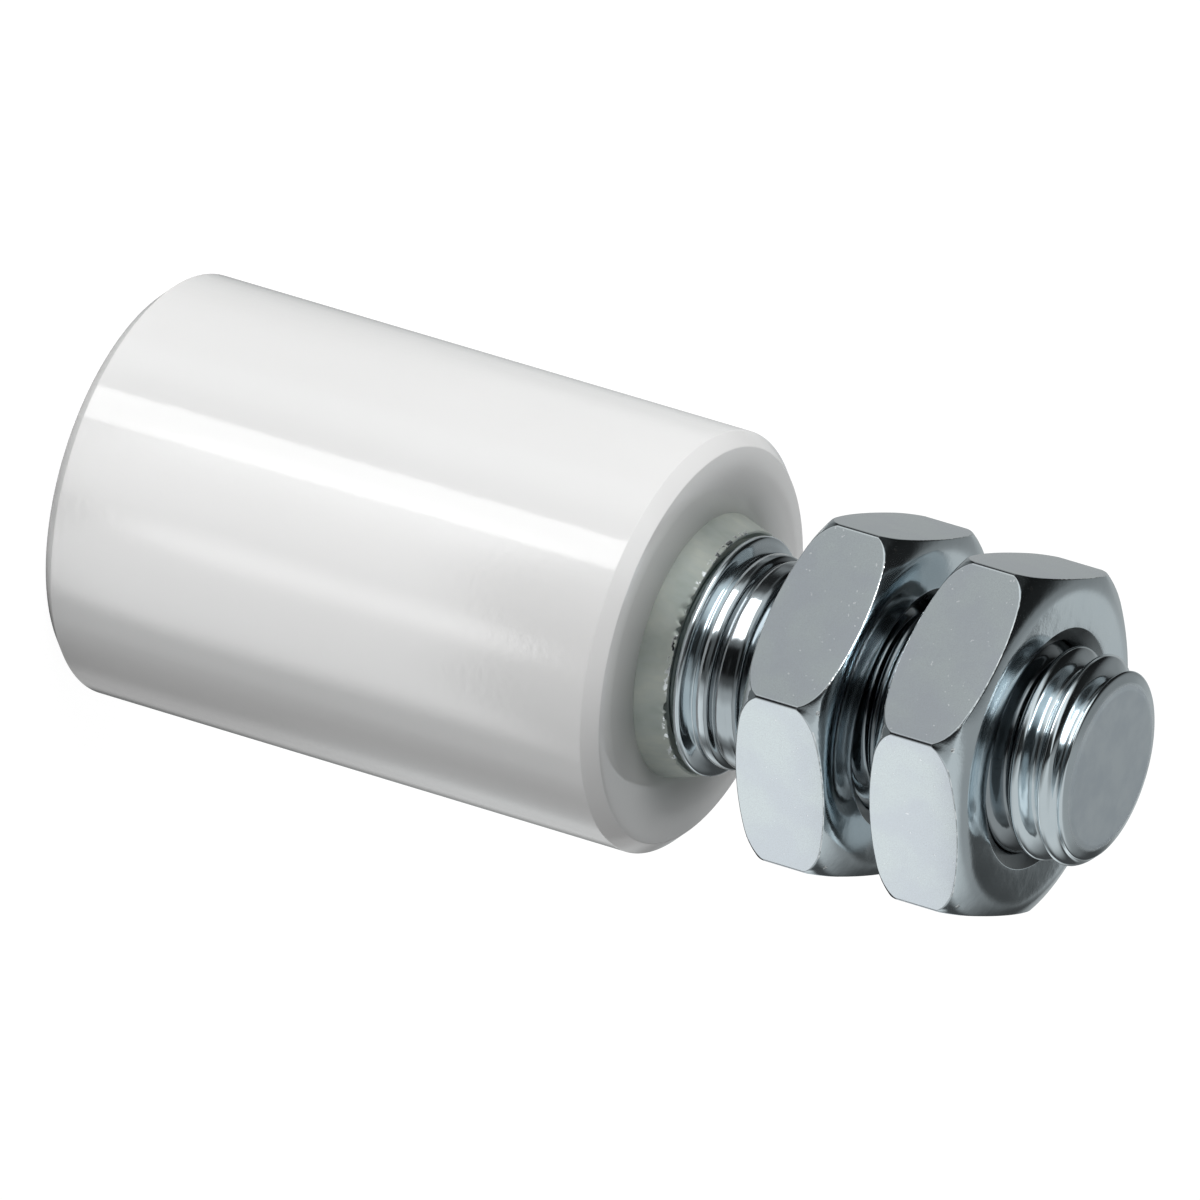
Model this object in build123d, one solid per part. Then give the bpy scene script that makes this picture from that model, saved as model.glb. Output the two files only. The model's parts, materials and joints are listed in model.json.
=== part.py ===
"""Nylon guide roller on a threaded steel stud.

The part stands on the roller's flat end with the stud pointing up. The origin is the centre of that
end, +Z runs along the stud towards its threaded tip, and lengths are in millimetres. The roller and
the bush inside it turn together on the stud. The two nuts travel along the thread, and a bracket is
held between them.
"""

import math
import os

from build123d import *

# Nylon roller
roller_diameter = 24.0
roller_length = 35.0
roller_chamfer = 0.75
counterbore_depth = 4.0
counterbore_clearance = 0.7

# Steel bush pressed into the roller
bush_bore = 12.0
bush_diameter = 15.0
bush_stand_out = 1.75
bush_taper_depth = 0.55
bush_inner_chamfer = 0.3

# Plain part of the stud, which turns in the bush
running_clearance = 0.05
end_play = 0.1
tail_chamfer = 0.5
tail_beyond_groove = 0.9

# Ribbed shoulder between the bush and the thread
shoulder_step = 0.15
first_rib_width = 0.5
rib_groove_depth = 0.05
rib_groove_width = 0.7
second_rib_height = 0.22
second_rib_width = 0.7
rib_round = 0.1
neck_length = 0.4
neck_depth = 0.28
neck_lead_in = 0.35
neck_round_radius = 0.6

# Threaded part of the stud, with the thread's crest diameter
thread_diameter = 11.86
stud_projection = 25.7
tip_round_depth = 1.28
tip_round_length = 1.25
tip_round_radius = 2.2

# Thin hexagon nuts
nut_across_flats = 19.0
nut_thickness = 6.0
nut_face_inset = 0.65
nut_chamfer_angle = 30.0
nut_thread_clearance = 0.04
nut_sink_width = 0.98
nut_sink_angle = 60.0
inner_nut_stand_off = 7.3
nut_gap = 2.35
inner_nut_turn = 39.6
outer_nut_turn = 38.6

# Thrust washer
washer_clearance = 0.1
washer_diameter = 18.0
washer_thickness = 1.0

# Retaining ring and its groove in the stud
groove_depth = 0.2
groove_width = 1.1
ring_thickness = 1.0
ring_back_width = 1.8
ring_front_width = 1.0
ring_lug_radius = 1.55
ring_lug_reach = 1.75
ring_lug_angle = 17.0
ring_eyelet_diameter = 1.7
ring_gap = 1.3

# Places along the stud that more than one piece shares
bush_end = roller_length + bush_stand_out
shoulder_start = bush_end + end_play
washer_top = counterbore_depth - end_play
ring_top = washer_top - washer_thickness
ring_bottom = ring_top - ring_thickness
tail_end = ring_bottom - tail_beyond_groove
shoulder_end = shoulder_start + first_rib_width + rib_groove_width + second_rib_width
thread_start = shoulder_end + neck_length + neck_lead_in
stud_end = roller_length + stud_projection
inner_nut_base = roller_length + inner_nut_stand_off
outer_nut_base = inner_nut_base + nut_thickness + nut_gap

# Radii that more than one piece shares
journal_radius = bush_bore / 2 - running_clearance
groove_radius = journal_radius - groove_depth
shoulder_radius = bush_diameter / 2 - bush_taper_depth - shoulder_step
crest_radius = thread_diameter / 2
nut_bore_radius = crest_radius + nut_thread_clearance


def turned(*edges):
    """A solid of revolution about the stud's axis, from edges of its half section in the XZ plane."""
    return revolve(make_face(Plane.XZ * Wire(edges)), Axis.Z)


def turned_from(points):
    """A solid of revolution from the corners of its half section, each a radius and a height."""
    return revolve(make_face(Plane.XZ * Polyline(*points, close=True)), Axis.Z)


def nylon_roller():
    """Cylinder with both rims chamfered, bored for the bush and counterbored at its closed end."""
    outer = roller_diameter / 2
    rim = outer - roller_chamfer
    bore = bush_diameter / 2
    recess = washer_diameter / 2 + counterbore_clearance
    return turned_from([
        (recess, 0),
        (rim, 0),
        (outer, roller_chamfer),
        (outer, roller_length - roller_chamfer),
        (rim, roller_length),
        (bore, roller_length),
        (bore, counterbore_depth),
        (recess, counterbore_depth),
    ])


def sleeve_bush():
    """Plain sleeve whose tapered end stands proud of the nylon and meets the stud's shoulder."""
    inner = bush_bore / 2
    outer = bush_diameter / 2
    return turned_from([
        (inner + bush_inner_chamfer, counterbore_depth),
        (outer, counterbore_depth),
        (outer, roller_length),
        (outer - bush_taper_depth, bush_end),
        (inner, bush_end),
        (inner, counterbore_depth + bush_inner_chamfer),
    ])


def stud_tail_points():
    """Half section of the stud from its tail up to the shoulder: chamfer, ring groove and journal."""
    return [
        (0, tail_end),
        (journal_radius - tail_chamfer, tail_end),
        (journal_radius, tail_end + tail_chamfer),
        (journal_radius, ring_bottom),
        (groove_radius, ring_bottom),
        (groove_radius, ring_bottom + groove_width),
        (journal_radius, ring_bottom + groove_width),
        (journal_radius, shoulder_start),
        (shoulder_radius, shoulder_start),
    ]


def axle_stud():
    """Turned stud: journal, a shoulder of two rounded ribs, a waisted neck and the threaded end."""
    rib_radius = crest_radius + second_rib_height
    rib_rim = rib_radius - rib_round
    rib_floor = rib_rim - rib_groove_depth
    first_top = shoulder_start + first_rib_width
    second_start = first_top + rib_groove_width
    neck_waist = shoulder_end + neck_length
    tip_start = stud_end - tip_round_length
    tip_face = (crest_radius - tip_round_depth, stud_end)

    tail = Polyline(*stud_tail_points())
    first_rib = Polyline(
        tail @ 1,
        (shoulder_radius, first_top),
        (rib_floor, (first_top + second_start) / 2),
        (rib_rim, second_start),
    )
    rib_middle = (rib_radius, (second_start + shoulder_end) / 2)
    second_rib = ThreePointArc(first_rib @ 1, rib_middle, (rib_rim, shoulder_end))
    fall = RadiusArc(second_rib @ 1, (crest_radius - neck_depth, neck_waist), neck_round_radius)
    lead_in = Line(fall @ 1, (crest_radius, thread_start))
    thread = Line(lead_in @ 1, (crest_radius, tip_start))
    tip_round = RadiusArc(thread @ 1, tip_face, -tip_round_radius)
    end_face = Line(tip_round @ 1, (0, stud_end))
    axis_line = Line(end_face @ 1, (0, tail_end))
    return turned(
        *tail.edges(), *first_rib.edges(), second_rib, fall, lead_in, thread, tip_round, end_face, axis_line
    )


def nut_envelope():
    """Two cones back to back that chamfer the corners at both faces of a hexagon."""
    face = nut_across_flats / 2 - nut_face_inset
    half = nut_thickness / 2
    reach = face + half / math.tan(math.radians(nut_chamfer_angle))
    return turned_from([
        (0, 0),
        (face, 0),
        (reach, half),
        (face, nut_thickness),
        (0, nut_thickness),
    ])


def nut_hole():
    """The nut's bore with a conical sink at both faces."""
    sink = nut_bore_radius + nut_sink_width
    sink_depth = nut_sink_width / math.tan(math.radians(nut_sink_angle))
    return turned_from([
        (0, 0),
        (sink, 0),
        (nut_bore_radius, sink_depth),
        (nut_bore_radius, nut_thickness - sink_depth),
        (sink, nut_thickness),
        (0, nut_thickness),
    ])


def hexagon_nut(base, turn):
    """Thin hexagon nut with its lower face at height base and a corner at the angle turn."""
    outline = RegularPolygon(nut_across_flats / 2, 6, major_radius=False)
    first_corner = math.degrees(math.atan2(outline.vertices()[0].Y, outline.vertices()[0].X))
    blank = extrude(Rot(0, 0, turn - first_corner) * outline, nut_thickness)
    return Pos(0, 0, base) * ((blank & nut_envelope()) - nut_hole())


def thrust_washer():
    """Flat washer between the bush and the retaining ring."""
    ring = Circle(washer_diameter / 2) - Circle(journal_radius + washer_clearance)
    return Pos(0, 0, ring_top) * extrude(ring, washer_thickness)


def retaining_ring():
    """Spring ring, widest at its back, with an eyelet in a lug on each side of its gap."""
    band_shift = (ring_back_width - ring_front_width) / 2
    band_radius = groove_radius + (ring_back_width + ring_front_width) / 2
    lug_distance = groove_radius + ring_lug_reach
    band = Pos(-band_shift, 0) * Circle(band_radius)
    for side in (-1, 1):
        lug_place = Rot(0, 0, side * ring_lug_angle) * Pos(lug_distance, 0)
        band = band + lug_place * Circle(ring_lug_radius)
        band = band - lug_place * Circle(ring_eyelet_diameter / 2)
    band = band - Circle(groove_radius)
    band = band - Pos(lug_distance, 0) * Rectangle(2 * lug_distance, ring_gap)
    return Pos(0, 0, ring_bottom) * extrude(band, ring_thickness)


pieces = {
    "nylon_roller": nylon_roller(),
    "sleeve_bush": sleeve_bush(),
    "axle_stud": axle_stud(),
    "thrust_washer": thrust_washer(),
    "retaining_ring": retaining_ring(),
    "inner_nut": hexagon_nut(inner_nut_base, inner_nut_turn),
    "outer_nut": hexagon_nut(outer_nut_base, outer_nut_turn),
}

os.makedirs("parts", exist_ok=True)
for node, piece in pieces.items():
    export_step(piece, f"parts/{node}.step")
    print(node, "from", round(piece.bounding_box().min.Z, 2), "to", round(piece.bounding_box().max.Z, 2))
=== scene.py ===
# %% [markdown]
# Nylon guide roller on a threaded stud.
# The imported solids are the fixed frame: every piece here is made in place around them, in metres, so
# nothing is fitted afterwards. The roller stands on its flat end, +Z runs along the stud, and the camera
# looks along +Y from above. A metal part's look is mostly what it reflects, so the studio comes before
# the finishes.

import json
import math

import bpy
from mathutils import Matrix, Vector, noise


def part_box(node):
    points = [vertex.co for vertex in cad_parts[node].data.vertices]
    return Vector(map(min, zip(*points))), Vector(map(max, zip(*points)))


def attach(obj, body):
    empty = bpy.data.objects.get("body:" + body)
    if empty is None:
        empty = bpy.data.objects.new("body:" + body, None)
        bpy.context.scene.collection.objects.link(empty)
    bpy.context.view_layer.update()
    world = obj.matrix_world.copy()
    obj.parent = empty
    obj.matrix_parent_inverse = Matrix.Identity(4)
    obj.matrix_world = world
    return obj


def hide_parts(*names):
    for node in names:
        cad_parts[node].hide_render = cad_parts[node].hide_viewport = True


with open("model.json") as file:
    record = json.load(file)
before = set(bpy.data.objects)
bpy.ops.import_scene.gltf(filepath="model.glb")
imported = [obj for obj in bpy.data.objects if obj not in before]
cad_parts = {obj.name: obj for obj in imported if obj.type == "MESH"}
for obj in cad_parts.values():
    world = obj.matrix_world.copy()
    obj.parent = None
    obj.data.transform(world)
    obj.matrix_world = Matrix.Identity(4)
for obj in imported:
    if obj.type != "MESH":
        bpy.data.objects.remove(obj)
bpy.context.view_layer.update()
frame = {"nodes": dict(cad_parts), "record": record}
nodes = frame["nodes"]
mounts = {mount["name"]: mount for mount in frame["record"]["mounts"]}
print("nodes", sorted(nodes))

# %% [markdown]
# Sizes. They could be typed in again, but then two files would have to be kept in step. So the heights
# come from the boxes of the solids and the two main radii from the record's mounts, and a change of the
# solids carries over. Only the fine forms that the solids leave out are named further down.

# %% Sizes
MM = 0.001
roller_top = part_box("nylon_roller")[1].z
roller_radius = mounts["tread"]["dims"]["r_mm"] * MM
roller_chamfer = (roller_top - mounts["tread"]["dims"]["length_mm"] * MM) / 2
crest_radius = mounts["stud_thread"]["dims"]["r_mm"] * MM
bush_low, bush_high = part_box("sleeve_bush")
stud_low, stud_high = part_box("axle_stud")
washer_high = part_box("thrust_washer")[1]
ring_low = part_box("retaining_ring")[0]
END_PLAY = 0.1 * MM
shoulder_start = bush_high.z + END_PLAY
roller_middle = roller_top / 2
print("roller", round(roller_radius / MM, 2), "mm radius, stud tip at", round(stud_high.z / MM, 2), "mm")

# %% [markdown]
# Formulas in nodes. Math nodes can be added and linked one by one, but a long formula then takes a page.
# One small class wraps a node socket instead, so that `wave * 0.5 + 0.5` adds two Math nodes and links
# them. The same class serves shader trees and geometry trees, because both know the Math node. The second
# class has one way to add any node, and a few short cuts for colours.

# %% Sockets as numbers
class Number:
    """A socket's value in a formula: each operator adds one Math node to its tree."""

    def __init__(self, tree, socket):
        self.tree = tree
        self.socket = socket

    def math(self, operation, *others):
        node = self.tree.add("ShaderNodeMath", {"operation": operation}, dict(enumerate((self, *others))))
        return Number(self.tree, node.outputs[0])

    def __add__(self, other):
        return self.math("ADD", other)

    def __sub__(self, other):
        return self.math("SUBTRACT", other)

    def __mul__(self, other):
        return self.math("MULTIPLY", other)

    def __truediv__(self, other):
        return self.math("DIVIDE", other)

    def __neg__(self):
        return self.math("MULTIPLY", -1)

    def __rsub__(self, other):
        return -self + other

    def __rtruediv__(self, other):
        return self.tree.number(other).math("DIVIDE", self)

    __radd__ = __add__
    __rmul__ = __mul__

    def fraction(self):
        return self.math("FRACT")

    def size(self):
        return self.math("ABSOLUTE")

    def above(self, level):
        return self.math("GREATER_THAN", level)

    def smaller(self, other):
        return self.math("MINIMUM", other)

    def larger(self, other):
        return self.math("MAXIMUM", other)

    def step(self, start, end):
        """0 before start, 1 after end, with a smooth rise between them."""
        stops = {"Value": self, "From Min": start, "From Max": end}
        node = self.tree.add("ShaderNodeMapRange", {"interpolation_type": "SMOOTHSTEP"}, stops)
        return Number(self.tree, node.outputs["Result"])

    def between(self, start, full, leave, end):
        """1 from full to leave, 0 before start and after end, with smooth slopes."""
        return self.step(start, full) * (1 - self.step(leave, end))


class Tree:
    """A node tree with one way to add a node: its type, its settings, then its sockets."""

    def __init__(self, tree):
        self.tree = tree

    def add(self, kind, settings=None, sockets=None):
        node = self.tree.nodes.new(kind)
        for name, value in (settings or {}).items():
            if name == "stops":
                self.fill_ramp(node.color_ramp, value)
            else:
                setattr(node, name, value)
        for name, value in (sockets or {}).items():
            self.join(node.inputs[name], value)
        return node

    def join(self, target, value):
        if isinstance(value, Number):
            value = value.socket
        if isinstance(value, bpy.types.NodeSocket):
            self.tree.links.new(value, target)
        else:
            target.default_value = value

    def fill_ramp(self, ramp, stops):
        while len(ramp.elements) < len(stops):
            ramp.elements.new(1.0)
        for element, (place, level) in zip(ramp.elements, stops):
            element.position = place
            element.color = (level, level, level, 1.0)

    def number(self, value):
        node = self.add("ShaderNodeValue")
        node.outputs[0].default_value = value
        return Number(self, node.outputs[0])

    def parts(self, vector):
        """The X, Y and Z of a vector socket, as numbers."""
        node = self.add("ShaderNodeSeparateXYZ", None, {0: vector})
        return [Number(self, node.outputs[axis]) for axis in "XYZ"]

    def ramp(self, factor, stops):
        """Greys that change softly from stop to stop; a stop is a place from 0 to 1 and a level."""
        node = self.add("ShaderNodeValToRGB", {"stops": stops}, {"Fac": factor})
        node.color_ramp.interpolation = "EASE"
        return node.outputs["Color"]

    def grey(self, level):
        node = self.add("ShaderNodeCombineColor", None, {"Red": level, "Green": level, "Blue": level})
        return node.outputs[0]

    def mix(self, factor, first, second, blend="MIX"):
        """Blends two colours, which are sockets 6 and 7 of the Mix node; the result is its socket 2."""
        node = self.add("ShaderNodeMix", {"data_type": "RGBA", "blend_type": blend}, {"Factor": factor})
        self.join(node.inputs[6], first)
        self.join(node.inputs[7], second)
        return node.outputs[2]


print("Number and Tree are ready")

# %% [markdown]
# The studio. The photograph is on plain white, in soft light. Lamps strong enough to turn a floor white
# would also wash out the nylon, so the world is white to the camera and to reflections, and much weaker as
# light on the object: an even dome, to which the lamps below add form. Metal shows little but what it
# mirrors, so it stands in a tent of white, grey and black cards, which comes after the lamps.

# %% The world
DOME_LEVEL = 0.36


def build_world():
    world = bpy.data.worlds.new("studio")
    bpy.context.scene.world = world
    world.use_nodes = True
    world.node_tree.nodes.clear()
    tree = Tree(world.node_tree)
    path = tree.add("ShaderNodeLightPath")
    names = ("Is Camera Ray", "Is Glossy Ray", "Is Transmission Ray")
    camera_ray, glossy_ray, clear_ray = [Number(tree, path.outputs[name]) for name in names]
    shown = camera_ray.larger(glossy_ray).larger(clear_ray)
    level = shown * (1 - DOME_LEVEL) + DOME_LEVEL
    plain = tree.add("ShaderNodeBackground", None, {"Color": (1, 1, 1, 1), "Strength": level})
    tree.add("ShaderNodeOutputWorld", None, {"Surface": plain.outputs[0]})
    return world


world = build_world()
print("world with", len(world.node_tree.nodes), "nodes")

# %% [markdown]
# Lamps. Each one is a rectangle that faces the object from a turn round it and a lift above the horizon;
# the turn is 0 at the camera's side and grows towards +X. Three of them give the form its light: the key,
# a fill from above and one behind. The rest only show as highlights, which light linking gives to one
# piece each, and fade out towards their own edges where the highlight has to be soft.

# %% Lamps
def toward(turn, lift):
    """The direction from the object to a lamp, from two angles in degrees."""
    flat = math.cos(math.radians(lift))
    turn = math.radians(turn)
    return Vector((math.sin(turn) * flat, -math.cos(turn) * flat, math.sin(math.radians(lift))))


def lamp(name, turn, lift, distance, width, height, radiance, aim):
    """An area lamp with the given radiance that faces the height aim on the object's axis."""
    data = bpy.data.lights.new(name, "AREA")
    data.shape = "RECTANGLE"
    data.size = width
    data.size_y = height
    data.energy = radiance * math.pi * width * height
    made = bpy.data.objects.new(name, data)
    bpy.context.scene.collection.objects.link(made)
    away = toward(turn, lift)
    made.location = Vector((0, 0, aim)) + away * distance
    made.rotation_euler = away.to_track_quat("Z", "Y").to_euler()
    made.visible_camera = False
    print(name, round(data.energy, 3), "W")
    return made


def highlight_only(made, piece):
    """Keeps a lamp out of soft light and links it to the one piece that mirrors it."""
    made.visible_diffuse = False
    chosen = bpy.data.collections.new(made.name + "_shows_on")
    chosen.objects.link(piece)
    made.light_linking.receiver_collection = chosen


def soft_edges(made, sides, ends):
    """Fades a lamp out towards its sides and its ends, over a share of its width and of its height."""
    made.data.use_nodes = True
    made.data.node_tree.nodes.clear()
    tree = Tree(made.data.node_tree)
    across, along, _ = tree.parts(tree.add("ShaderNodeNewGeometry").outputs["Parametric"])
    level = across.smaller(1 - across).step(0, sides) * along.smaller(1 - along).step(0, ends)
    shine = tree.add("ShaderNodeEmission", None, {"Strength": level})
    tree.add("ShaderNodeOutputLight", None, {"Surface": shine.outputs[0]})


FORM_LAMPS = [
    # name, turn, lift, distance, width, height, radiance
    ("key", -42, 3, 0.6, 0.3, 0.3, 7.0),
    ("fill", -95, 50, 0.6, 0.4, 0.4, 2.3),
    ("rear", 175, 2, 0.6, 0.3, 0.3, 2.6),
]
for values in FORM_LAMPS:
    lamp(*values, roller_middle).visible_glossy = False

# %% [markdown]
# The floor is white to the camera and still takes a soft shadow: most of what it sends back is its own
# white, the rest is light that falls on it. A plain white diffuse floor would need far more light on it
# than the object can take. Glossy rays pass the floor and see the cards, which also stand below it, as
# they would under a glass table.

# %% The floor
FLOOR_SIZE = 6.0
FLOOR_COLOUR = (0.9, 0.9, 0.9, 1)
FLOOR_WHITE = 1.17
FLOOR_WHITE_SHARE = 0.8


def new_material(name):
    """An empty material and its tree."""
    material = bpy.data.materials.new(name)
    material.use_nodes = True
    material.node_tree.nodes.clear()
    return material, Tree(material.node_tree)


def build_floor():
    mesh = bpy.data.meshes.new("floor")
    half = FLOOR_SIZE / 2
    corners = [(-half, -half, 0), (half, -half, 0), (half, half, 0), (-half, half, 0)]
    mesh.from_pydata(corners, [], [(0, 1, 2, 3)])
    floor = bpy.data.objects.new("floor", mesh)
    bpy.context.scene.collection.objects.link(floor)
    material, tree = new_material("floor_white")
    lit = tree.add("ShaderNodeBsdfDiffuse", None, {"Color": FLOOR_COLOUR})
    own = tree.add("ShaderNodeEmission", None, {"Color": (1, 1, 1, 1), "Strength": FLOOR_WHITE})
    seen = Number(tree, tree.add("ShaderNodeLightPath").outputs["Is Camera Ray"])
    share = {0: seen * FLOOR_WHITE_SHARE, 1: lit.outputs[0], 2: own.outputs[0]}
    blend = tree.add("ShaderNodeMixShader", None, share)
    tree.add("ShaderNodeOutputMaterial", None, {"Surface": blend.outputs[0]})
    mesh.materials.append(material)
    floor.visible_glossy = False
    floor.visible_shadow = False


build_floor()
print("floor", FLOOR_SIZE, "m square")

# %% [markdown]
# The tent of cards. Polished metal on a white sheet mirrors nothing but white, so its form has to come
# from what stands round it. Cards could be placed one by one, but here the tent is one sphere that only
# reflections see and whose shade depends on the direction, which is quicker to tune. Each list is a ring
# of soft cards, with a turn in degrees and a level at each stop. SIDES is the ring below the horizon, which
# upright walls mirror because the camera looks down on them; MIDDLE is the ring at the horizon, OVERHEAD
# the roof, and BACK takes their place behind the object, for a camera that walks round it.

# %% The tent of cards
TENT_RADIUS = 0.6
TENT_MIDDLE = -0.05
SIDES = [
    (-180, 0.2), (-170, 0.32), (-152, 0.3), (-138, 0.2), (-124, 0.03), (-92, 0.03), (-80, 0.12),
    (-70, 0.75), (-60, 0.85), (-50, 0.5), (-34, 0.46), (-20, 0.8), (-13, 0.25), (-5, 0.01), (20, 0.01),
    (29, 0.12), (44, 0.6), (60, 0.95), (92, 0.95), (104, 0.35), (114, 0.1), (130, 0.03),
    (165, 0.05), (180, 0.2),
]
MIDDLE = [
    (-180, 0.5), (-158, 0.24), (-140, 0.012), (-110, 0.01), (-86, 0.04), (-76, 0.5), (-66, 0.9),
    (-34, 0.9), (-22, 0.4), (-12, 0.01), (16, 0.01), (30, 0.3), (48, 0.6), (90, 0.6), (108, 0.25),
    (126, 0.07), (168, 0.06), (180, 0.5),
]
OVERHEAD = [
    (-180, 0.34), (-160, 0.24), (-141, 0.015), (-96, 0.01), (-84, 0.28), (-72, 0.9), (-46, 1.0),
    (-32, 0.5), (-18, 0.03), (10, 0.02), (24, 0.4), (50, 0.62), (134, 0.62), (160, 0.34), (180, 0.34),
]
BACK = [
    (-180, 0.4), (-166, 0.42), (-150, 0.42), (-138, 0.2), (-120, 0.35), (-100, 0.1),
    (100, 0.1), (120, 0.5), (136, 0.85), (150, 0.5), (162, 0.15), (180, 0.5),
]
TINT = (0.94, 0.99, 1.0, 1.0)
# Where one ring gives way to the next, as a share of the tent's radius above or below its middle. BEHIND
# and RIGHT_SIDE count in whole turns round the object.
HORIZON = (-0.15, 0.05)
ROOF = (0.4, 0.75)
BACK_BAND = (-0.37, -0.3, 0.1, 0.25)
BEHIND = (0.28, 0.36)
# On the right the lower ring is bright only in a window, and dimmed above and below it.
RIGHT_SIDE = (0.57, 0.62)
WINDOW = (-0.56, -0.42, -0.2, -0.1)
WINDOW_DIMMING = 0.7
# Far down the cards darken, but neither there nor just below the horizon is anything quite black.
FAR_DOWN = (-0.85, -0.55)
FAR_DOWN_LEVEL = 0.22
TABLE, TABLE_LEVEL = (-0.84, -0.66), 0.15
WALL, WALL_LEVEL = (-0.225, -0.175, 0.05, 0.2), 0.12


def glow(tree, colour):
    """A shader that only gives off light."""
    return tree.add("ShaderNodeEmission", None, {"Color": colour, "Strength": 1.0}).outputs[0]


def card(name, vertices, faces, material):
    """A mesh that only reflections see, and that the render doesn't sample as a lamp."""
    material.cycles.emission_sampling = "NONE"
    mesh = bpy.data.meshes.new(name)
    mesh.from_pydata(vertices, [], faces)
    mesh.materials.append(material)
    made = bpy.data.objects.new(name, mesh)
    bpy.context.scene.collection.objects.link(made)
    made.visible_camera = False
    made.visible_diffuse = False
    made.visible_transmission = False
    made.visible_shadow = False


def tent_shade(tree):
    """The tent's colour. Turn goes from 0 to 1 and is 0.5 at the camera's side; rise goes from -1 to 1."""
    across, along, up = tree.parts(tree.add("ShaderNodeTexCoord").outputs["Object"])
    turn = across.math("ARCTAN2", -along) / (2 * math.pi) + 0.5
    rise = (up - TENT_MIDDLE) / TENT_RADIUS
    sides, middle, overhead, back = [
        tree.ramp(turn, [(angle / 360 + 0.5, level) for angle, level in stops])
        for stops in (SIDES, MIDDLE, OVERHEAD, BACK)
    ]
    dimmed = 1 - turn.step(*RIGHT_SIDE) * (1 - rise.between(*WINDOW)) * WINDOW_DIMMING
    lower = tree.mix(1.0, sides, tree.grey(dimmed), "MULTIPLY")
    shade = tree.mix(rise.step(*HORIZON), lower, middle)
    shade = tree.mix(rise.step(*ROOF), shade, overhead)
    behind = (turn - 0.5).size().step(*BEHIND) * rise.between(*BACK_BAND)
    shade = tree.mix(behind, shade, back)
    far_down = rise.step(*FAR_DOWN) * (1 - FAR_DOWN_LEVEL) + FAR_DOWN_LEVEL
    shade = tree.mix(1.0, shade, tree.grey(far_down), "MULTIPLY")
    least = (1 - rise.step(*TABLE)) * TABLE_LEVEL + rise.between(*WALL) * WALL_LEVEL
    shade = tree.mix(1.0, shade, tree.grey(least), "LIGHTEN")
    return tree.mix(1.0, shade, TINT, "MULTIPLY")


def build_tent():
    rows, columns = 24, 48
    vertices, faces = [], []
    for i in range(rows + 1):
        lift = math.pi * (i / rows - 0.5)
        for k in range(columns):
            turn = 2 * math.pi * k / columns
            ring = TENT_RADIUS * math.cos(lift)
            height = TENT_MIDDLE + TENT_RADIUS * math.sin(lift)
            vertices.append((ring * math.cos(turn), ring * math.sin(turn), height))
    for i in range(rows):
        for k in range(columns):
            after = (k + 1) % columns
            here, above = i * columns, (i + 1) * columns
            faces.append((here + k, above + k, above + after, here + after))
    material, tree = new_material("tent_cards")
    tree.add("ShaderNodeOutputMaterial", None, {"Surface": glow(tree, tent_shade(tree))})
    card("tent", vertices, faces, material)


build_tent()
print("tent with", len(SIDES + MIDDLE + OVERHEAD + BACK), "panel stops")

# %% [markdown]
# The card behind. The end of the stud and the faces of the nuts are flat, and a flat face mirrors one
# small patch of the tent, which would give it a single grey. In the photograph those faces go from pale at
# the top to dark below, so a card of a few centimetres stands just where they look. It shades from pale to
# dark across a slanted line and fades out at its borders, so that it leaves no outline on the round parts.

# %% The card behind
BACK_CARD_Y = 0.12
BACK_CARD_LOW, BACK_CARD_HIGH = 0.085, 0.15
BACK_CARD_HALF = 0.04
BACK_CARD_MIDDLE = 0.113
BACK_CARD_SLANT = 0.8
PALE_LEVEL = 0.54
FALL, FALL_BY = (-0.006, -0.0005), 0.4
FURTHER_FALL, FURTHER_FALL_BY = (0.002, 0.009), 0.08
FADE_ACROSS, FADE_UP = (0.016, 0.036), (0.014, 0.026)


def back_card_material():
    """Pale on the left, dark on the right, with soft clear borders."""
    material, tree = new_material("back_card_grey")
    across, _, up = tree.parts(tree.add("ShaderNodeTexCoord").outputs["Object"])
    slant = across + (up - BACK_CARD_MIDDLE) * BACK_CARD_SLANT
    level = PALE_LEVEL - slant.step(*FALL) * FALL_BY - slant.step(*FURTHER_FALL) * FURTHER_FALL_BY
    inside = 1 - across.size().step(*FADE_ACROSS)
    inside = inside * (1 - (up - BACK_CARD_MIDDLE).size().step(*FADE_UP))
    tinted = tree.mix(1.0, tree.grey(level), TINT, "MULTIPLY")
    clear = tree.add("ShaderNodeBsdfTransparent").outputs[0]
    blend = tree.add("ShaderNodeMixShader", None, {0: inside, 1: clear, 2: glow(tree, tinted)})
    tree.add("ShaderNodeOutputMaterial", None, {"Surface": blend.outputs[0]})
    return material


card("back_card", [
    (-BACK_CARD_HALF, BACK_CARD_Y, BACK_CARD_LOW),
    (BACK_CARD_HALF, BACK_CARD_Y, BACK_CARD_LOW),
    (BACK_CARD_HALF, BACK_CARD_Y, BACK_CARD_HIGH),
    (-BACK_CARD_HALF, BACK_CARD_Y, BACK_CARD_HIGH),
], [(0, 1, 2, 3)], back_card_material())
print("card behind the object")

# %% [markdown]
# The camera. In the photograph the stud points right and a little down, with its end turned towards the
# viewer. For a part that stands upright this is a camera raised by CAMERA_LIFT and rolled until the
# stud's axis falls by AXIS_FALL below the picture's horizontal. The photograph shows hardly any
# perspective, so the lens is very long. FACE_PIXEL is where the middle of the roller's front face lies.

# %% The camera
CAMERA_LIFT = math.radians(25.24)
AXIS_FALL = math.radians(16.62)
PICTURE_SIZE = 1200
PIXELS_PER_MM = 18.3
FACE_PIXEL = (701.4, 645.4)
LENS = 1000.0
SENSOR = 36.0


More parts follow.
